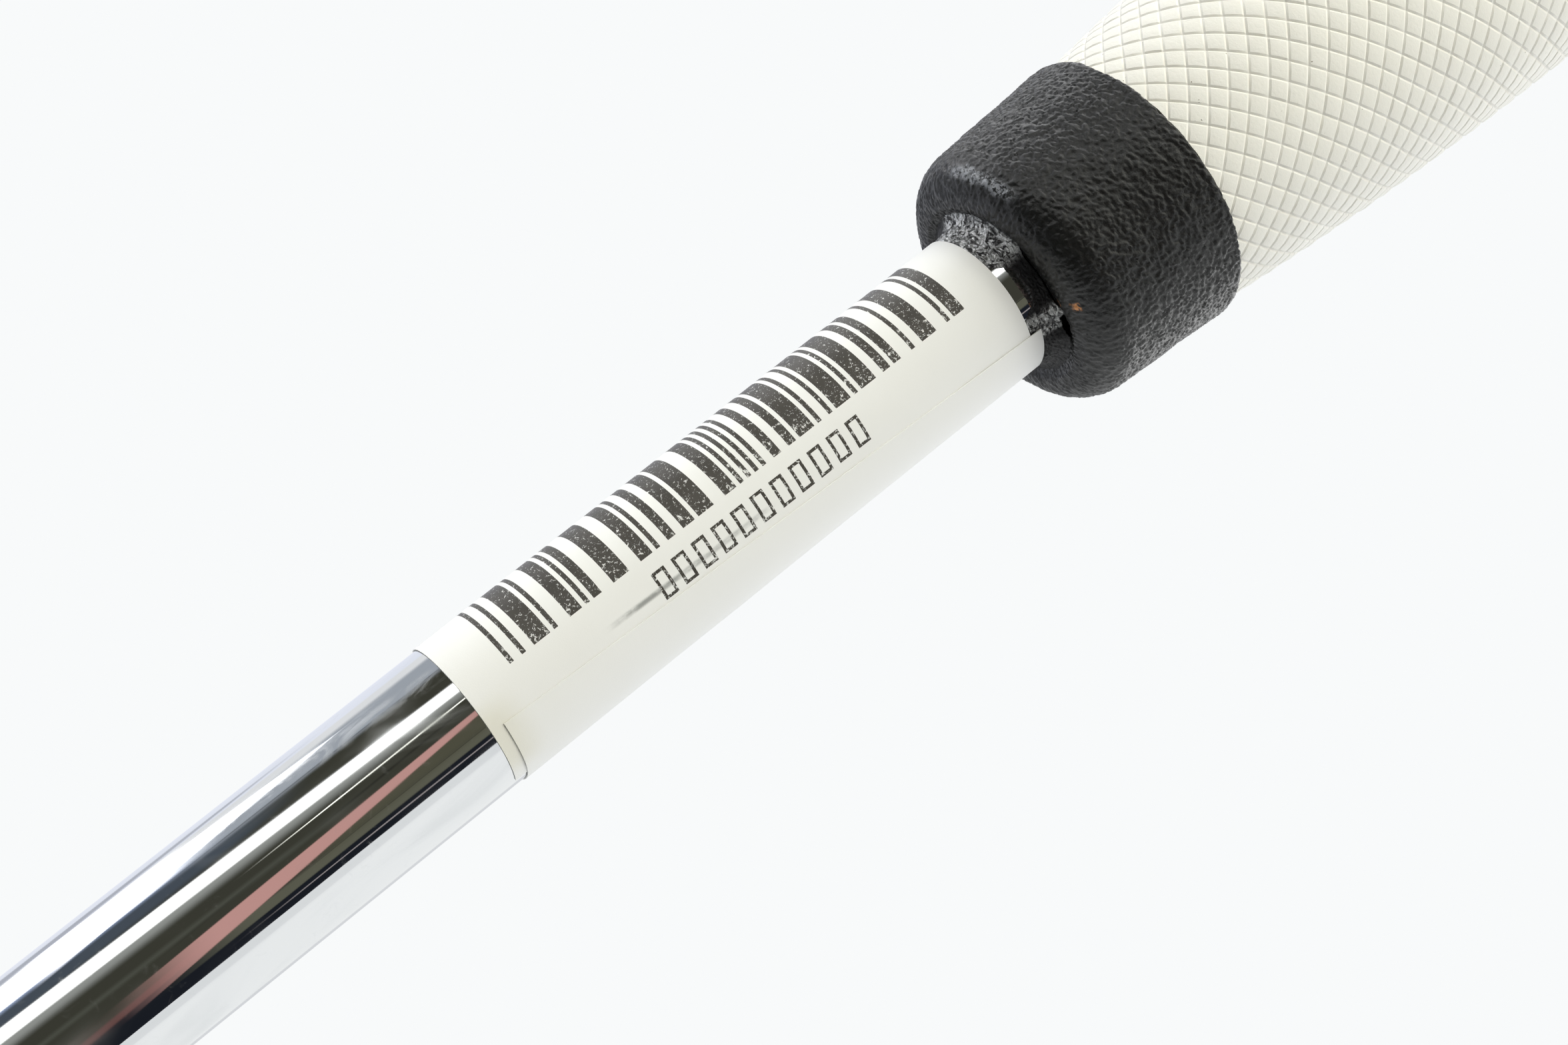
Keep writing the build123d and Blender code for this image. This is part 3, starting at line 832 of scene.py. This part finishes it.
def make_sleeve():
    """The rubber sleeve: two families of helical grooves leave a lattice of small pillows."""
    mouth, top = collar_high.z + 0.1 * MM, sleeve_high.z
    steps = len(CELL_STEPS)
    rows = round((top - mouth) / PATTERN_PITCH * 2)
    pitch = 2 * (top - mouth) / rows
    columns = PATTERN_STARTS * steps
    levels = rows * steps
    points = []
    for d in range(levels + 1):
        for c in range(columns):
            s = 2 * c + d % 2
            i, j = (s + d) // 2, (s - d) // 2
            a = i // steps + CELL_STEPS[i % steps]
            b = j // steps + CELL_STEPS[j % steps]
            angle = 360 * (a + b) / 2 / PATTERN_STARTS
            z = mouth + pitch * (a - b) / 2
            wander = Vector((math.sin(math.radians(angle)), math.cos(math.radians(angle)), z / (9 * MM)))
            angle += 0.35 * noise.noise(wander * 1.5)
            z_shift = 0.07 * MM * noise.noise(wander * 1.7 + Vector((4, 4, 4)))
            if 0 < d < levels:
                z += z_shift
            cell = (i // steps) * 7.3 + (j // steps) * 3.1
            tall = 1 + 0.22 * noise.noise(Vector((cell, 0.5, 2)))
            pillow = CELL_HEIGHTS[i % steps] * CELL_HEIGHTS[j % steps] * tall
            radius = grip_radius(z) + GROOVE_DEPTH * (pillow - 0.8)
            x, y, z = polar(radius, angle, z)
            points.append((x + OFF_CENTRE, y, z))

    def index(i, j):
        d = i - j
        return d * columns + ((i + j - d % 2) // 2) % columns

    faces, in_groove = [], []
    for d in range(levels + 1):
        for c in range(columns):
            s = 2 * c + d % 2
            i, j = (s + d) // 2, (s - d) // 2
            around = [index(i, j)]
            if d < levels:
                around.append(index(i + 1, j))
            around.append(index(i + 1, j + 1))
            if d > 0:
                around.append(index(i, j + 1))
            if len(around) > 2:
                faces.append(tuple(around))
                in_groove.append(i % steps in (0, steps - 1) or j % steps in (0, steps - 1))
    bore = core_high.x + 0.02 * MM
    neck = 10.45 * MM
    inner = [
        (grip_radius(mouth) - 0.6 * MM, mouth),
        (neck, mouth),
        (neck, sleeve_low.z),
        (bore, sleeve_low.z),
        (bore, top),
        (grip_radius(top) - 0.6 * MM, top),
    ]
    first = len(points)
    for radius, z in inner:
        for c in range(columns):
            points.append(polar(radius, 360 * c / columns, z))
    rings = [list(range(columns))]
    rings += [list(range(first + k * columns, first + (k + 1) * columns)) for k in range(len(inner))]
    rings.append([levels * columns + c for c in range(columns)])
    for lower, upper in zip(rings, rings[1:]):
        for c in range(columns):
            k = (c + 1) % columns
            faces.append((lower[k], lower[c], upper[c], upper[k]))
    in_groove += [False] * (len(faces) - len(in_groove))
    # Faces on the groove walls take the darker copy of the rubber: painted groove shade
    sleeve = add_piece("grip", points, faces, [materials["grip_rubber"], grip_groove_shade], ["grip_sleeve"], sharp=24)
    sleeve.data.polygons.foreach_set("material_index", [int(x) for x in in_groove])
    return sleeve


make_shaft()
make_wrap("white_wrap", white_low, white_high, 118, "white_sheeting", "white_reflective_wrap")
make_wrap("red_wrap", red_low, red_high, 112, "red_sheeting", "red_reflective_wrap")
make_label()
make_collar()
make_adhesive()
make_sleeve()


# --- Studio ------------------------------------------------------------------------------------

def make_floor():
    """A wide round floor, pale and plain, under the tip."""
    mesh = bpy.data.meshes.new("floor")
    rim = [polar(12.0, -360 * k / 128, floor_z) for k in range(128)]
    mesh.from_pydata(rim, [], [tuple(reversed(range(128)))])
    s = Shade("floor_paint")
    mesh.materials.append(s.set(Base_Color=(0.74, 0.74, 0.74), Roughness=0.6))
    floor = bpy.data.objects.new("floor", mesh)
    bpy.context.scene.collection.objects.link(floor)
    floor.visible_glossy = False
    floor.visible_diffuse = False


# What the chrome mirrors, by direction: azimuth (0 towards -Y), how it leans with elevation, half
# width, how that widens with elevation, softness, lowest and highest elevation, and colour
PANELS = [
    (-153.0, 0.0, 27.0, 0.0, 4.0, -90, 60, (0.83, 0.86, 0.95)),
    (-174.0, 0.0, 12.0, 0.0, 8.0, -90, 60, (0.93, 0.945, 0.985)),
    (-136.0, 0.0, 9.0, -0.7, 6.0, -30, 5, (0.46, 0.48, 0.54)),
    (110.0, 0.0, 42.0, 0.0, 1.0, -90, 60, (0.91, 0.925, 0.92)),
    (62.0, 0.0, 12.0, 0.0, 14.0, -90, 60, (0.76, 0.78, 0.78)),
    (152.5, 0.0, 1.0, 0.0, 1.5, -90, 60, (0.62, 0.63, 0.65)),
    (168.0, 0.0, 14.0, 0.0, 2.0, -90, 60, (0.70, 0.715, 0.735)),
    (-20.0, 0.0, 76.0, 0.0, 1.0, -90, 34, (0.045, 0.045, 0.034)),
    (-74.0, 0.0, 20.0, 0.0, 12.0, -90, 4, (0.065, 0.08, 0.10)),
    (-87.0, 0.0, 12.0, 0.0, 10.0, -14, 3, (0.34, 0.42, 0.60)),
    (-94.0, 0.0, 22.0, 0.0, 10.0, 3, 34, (0.36, 0.39, 0.43)),
    (-79.0, 0.0, 1.5, 0.0, 1.5, 3, 34, (0.10, 0.11, 0.12)),
    (41.0, 0.0, 15.0, 0.0, 1.0, -90, 34, (0.011, 0.013, 0.018)),
    (33.0, 0.0, 7.5, 0.0, 2.5, 2, 34, (0.11, 0.11, 0.08)),
    (28.0, 0.0, 1.0, 0.0, 0.8, 5, 34, (0.02, 0.02, 0.018)),
    (46.0, 0.0, 1.2, 0.0, 0.8, 4, 34, (0.30, 0.27, 0.27)),
    (18.0, 0.0, 18.0, 0.0, 14.0, 5, 14, (0.082, 0.080, 0.054)),
    (-2.0, -0.8, 3.0, 0.0, 4.0, 2, 12, (0.022, 0.022, 0.017)),
    (-8.0, 0.6, 6.0, 0.0, 7.0, -20, 5, (0.075, 0.078, 0.062)),
    (24.0, -1.25, 6.0, 0.0, 4.0, -20, 3, (0.12, 0.055, 0.05)),
    (22.4, -1.8, 13.6, -0.95, 2.0, 1, 10, (0.55, 0.30, 0.27)),
    (-20.0, 0.0, 1.1, 0.0, 1.0, 5, 13, (1.8, 1.8, 1.6)),
    (-104.0, 0.0, 24.0, 0.5, 7.0, -14, 1, (4.0, 4.0, 4.1)),
    (-104.0, 0.0, 24.0, -3.3, 5.0, 0, 8, (4.0, 4.0, 4.1)),
    (-43.0, 1.0, 19.0, -0.3, 14.0, -20, 34, (0.30, 0.31, 0.29)),
    (-50.0, 1.05, 11.0, -0.15, 8.0, -20, 34, (4.5, 4.5, 4.4)),
    (-80.0, 0.0, 45.0, 0.0, 25.0, 40, 80, (2.0, 2.0, 2.0)),
    (-5.0, 0.0, 55.0, 0.0, 25.0, 44, 80, (1.8, 1.78, 1.55)),
]
SKY = (0.80, 0.81, 0.82)


def make_world():
    """Soft light from all round, with reflector panels and a darker side towards the viewer."""
    world = bpy.data.worlds.new("studio")
    bpy.context.scene.world = world
    world.use_nodes = True
    tree = world.node_tree
    tree.nodes.clear()

    def node(kind, *values, **settings):
        made = tree.nodes.new(kind)
        for name, value in settings.items():
            setattr(made, name, value)
        for socket, value in zip(made.inputs, values):
            if isinstance(value, bpy.types.NodeSocket):
                tree.links.new(value, socket)
            elif value is not None:
                socket.default_value = value
        return made.outputs[0]

    def math_node(operation, a, b=0.0):
        return node("ShaderNodeMath", a, b, operation=operation)

    def ease(value, low, high):
        return node("ShaderNodeMapRange", value, low, high, 0.0, 1.0, interpolation_type="SMOOTHSTEP")

    split = tree.nodes.new("ShaderNodeSeparateXYZ")
    tree.links.new(node("ShaderNodeTexCoord"), split.inputs[0])
    x, y, z = split.outputs
    azimuth = math_node("MULTIPLY", math_node("ARCTAN2", x, math_node("MULTIPLY", y, -1.0)), 180 / math.pi)
    elevation = math_node("MULTIPLY", math_node("ARCSINE", z), 180 / math.pi)
    colour = tree.nodes.new("ShaderNodeRGB").outputs[0]
    colour.default_value = (*SKY, 1)
    for at, lean, half, widen, soft, low, high, tint in PANELS:
        middle = math_node("ADD", math_node("MULTIPLY", elevation, lean), at)
        width = math_node("ADD", math_node("MULTIPLY", elevation, widen), half)
        away = math_node("ABSOLUTE", math_node("SUBTRACT", azimuth, middle))
        share = ease(math_node("SUBTRACT", width, away), 0.0, soft)
        share = math_node("MULTIPLY", share, ease(elevation, low - 2.0, low + 1.0))
        share = math_node("MULTIPLY", share, ease(elevation, high + 2.0, high - 1.0))
        mix = tree.nodes.new("ShaderNodeMix")
        mix.data_type = "RGBA"
        tree.links.new(share, mix.inputs["Factor"])
        tree.links.new(colour, mix.inputs["A"])
        mix.inputs["B"].default_value = (*tint, 1)
        colour = mix.outputs["Result"]
    lit = tree.nodes.new("ShaderNodeBackground")
    tree.links.new(colour, lit.inputs["Color"])
    seen = tree.nodes.new("ShaderNodeBackground")
    seen.inputs["Color"].default_value = (0.94, 0.955, 0.96, 1)
    path = tree.nodes.new("ShaderNodeLightPath")
    choose = tree.nodes.new("ShaderNodeMixShader")
    tree.links.new(path.outputs["Is Camera Ray"], choose.inputs["Fac"])
    tree.links.new(lit.outputs[0], choose.inputs[1])
    tree.links.new(seen.outputs[0], choose.inputs[2])
    end = tree.nodes.new("ShaderNodeOutputWorld")
    tree.links.new(choose.outputs[0], end.inputs["Surface"])


def make_softbox(name, azimuth, elevation, distance, width, height, radiance, tint=(1, 1, 1)):
    """A soft rectangular light that faces the collar from a direction."""
    data = bpy.data.lights.new(name, "AREA")
    data.shape = "RECTANGLE"
    data.size, data.size_y = width, height
    data.energy = radiance * math.pi * width * height
    data.color = tint
    light = bpy.data.objects.new(name, data)
    level = math.cos(math.radians(elevation))
    x, y, _ = polar(distance * level, azimuth, 0)
    offset = Vector((x, y, distance * math.sin(math.radians(elevation))))
    light.matrix_world = (
        Matrix.Translation(Vector((0, 0, collar_low.z)) + offset)
        @ offset.to_track_quat("Z", "Y").to_matrix().to_4x4()
    )
    light.visible_camera = False
    bpy.context.scene.collection.objects.link(light)
    return light


def make_camera():
    """A close hand-held view of the label and the collar: looking up 18 degrees and rolled 51."""
    data = bpy.data.cameras.new("camera")
    data.lens = 56.195
    data.sensor_width = 36.0
    data.clip_start = 0.01
    data.clip_end = 100.0
    camera = bpy.data.objects.new("camera", data)
    place = Matrix.Translation(Vector((3.61, -183.9, LABEL_MIDDLE / MM - 58.44)) * MM)
    pitch = Matrix.Rotation(math.radians(90 + 18.227), 4, "X")
    roll = Matrix.Rotation(math.radians(51.12), 4, "Z")
    camera.matrix_world = place @ pitch @ roll
    bpy.context.scene.collection.objects.link(camera)
    bpy.context.scene.camera = camera


make_floor()
make_world()
make_softbox("key_light", -108, 34, 1.3, 0.9, 0.7, 1.8)
make_softbox("rim_light", 132, 34, 1.3, 0.9, 0.7, 1.4)
for fill in (
    make_softbox("front_fill", -10, 34, 1.3, 1.0, 0.7, 4.0, (1.0, 0.985, 0.86)),
    make_softbox("left_fill", -78, 34, 1.3, 1.0, 0.7, 1.3),
    make_softbox("side_fill", 50, 34, 1.3, 1.0, 0.7, 1.4, (0.98, 0.99, 1.0)),
):
    fill.visible_glossy = False
make_camera()
bpy.context.scene.view_settings.view_transform = "Standard"
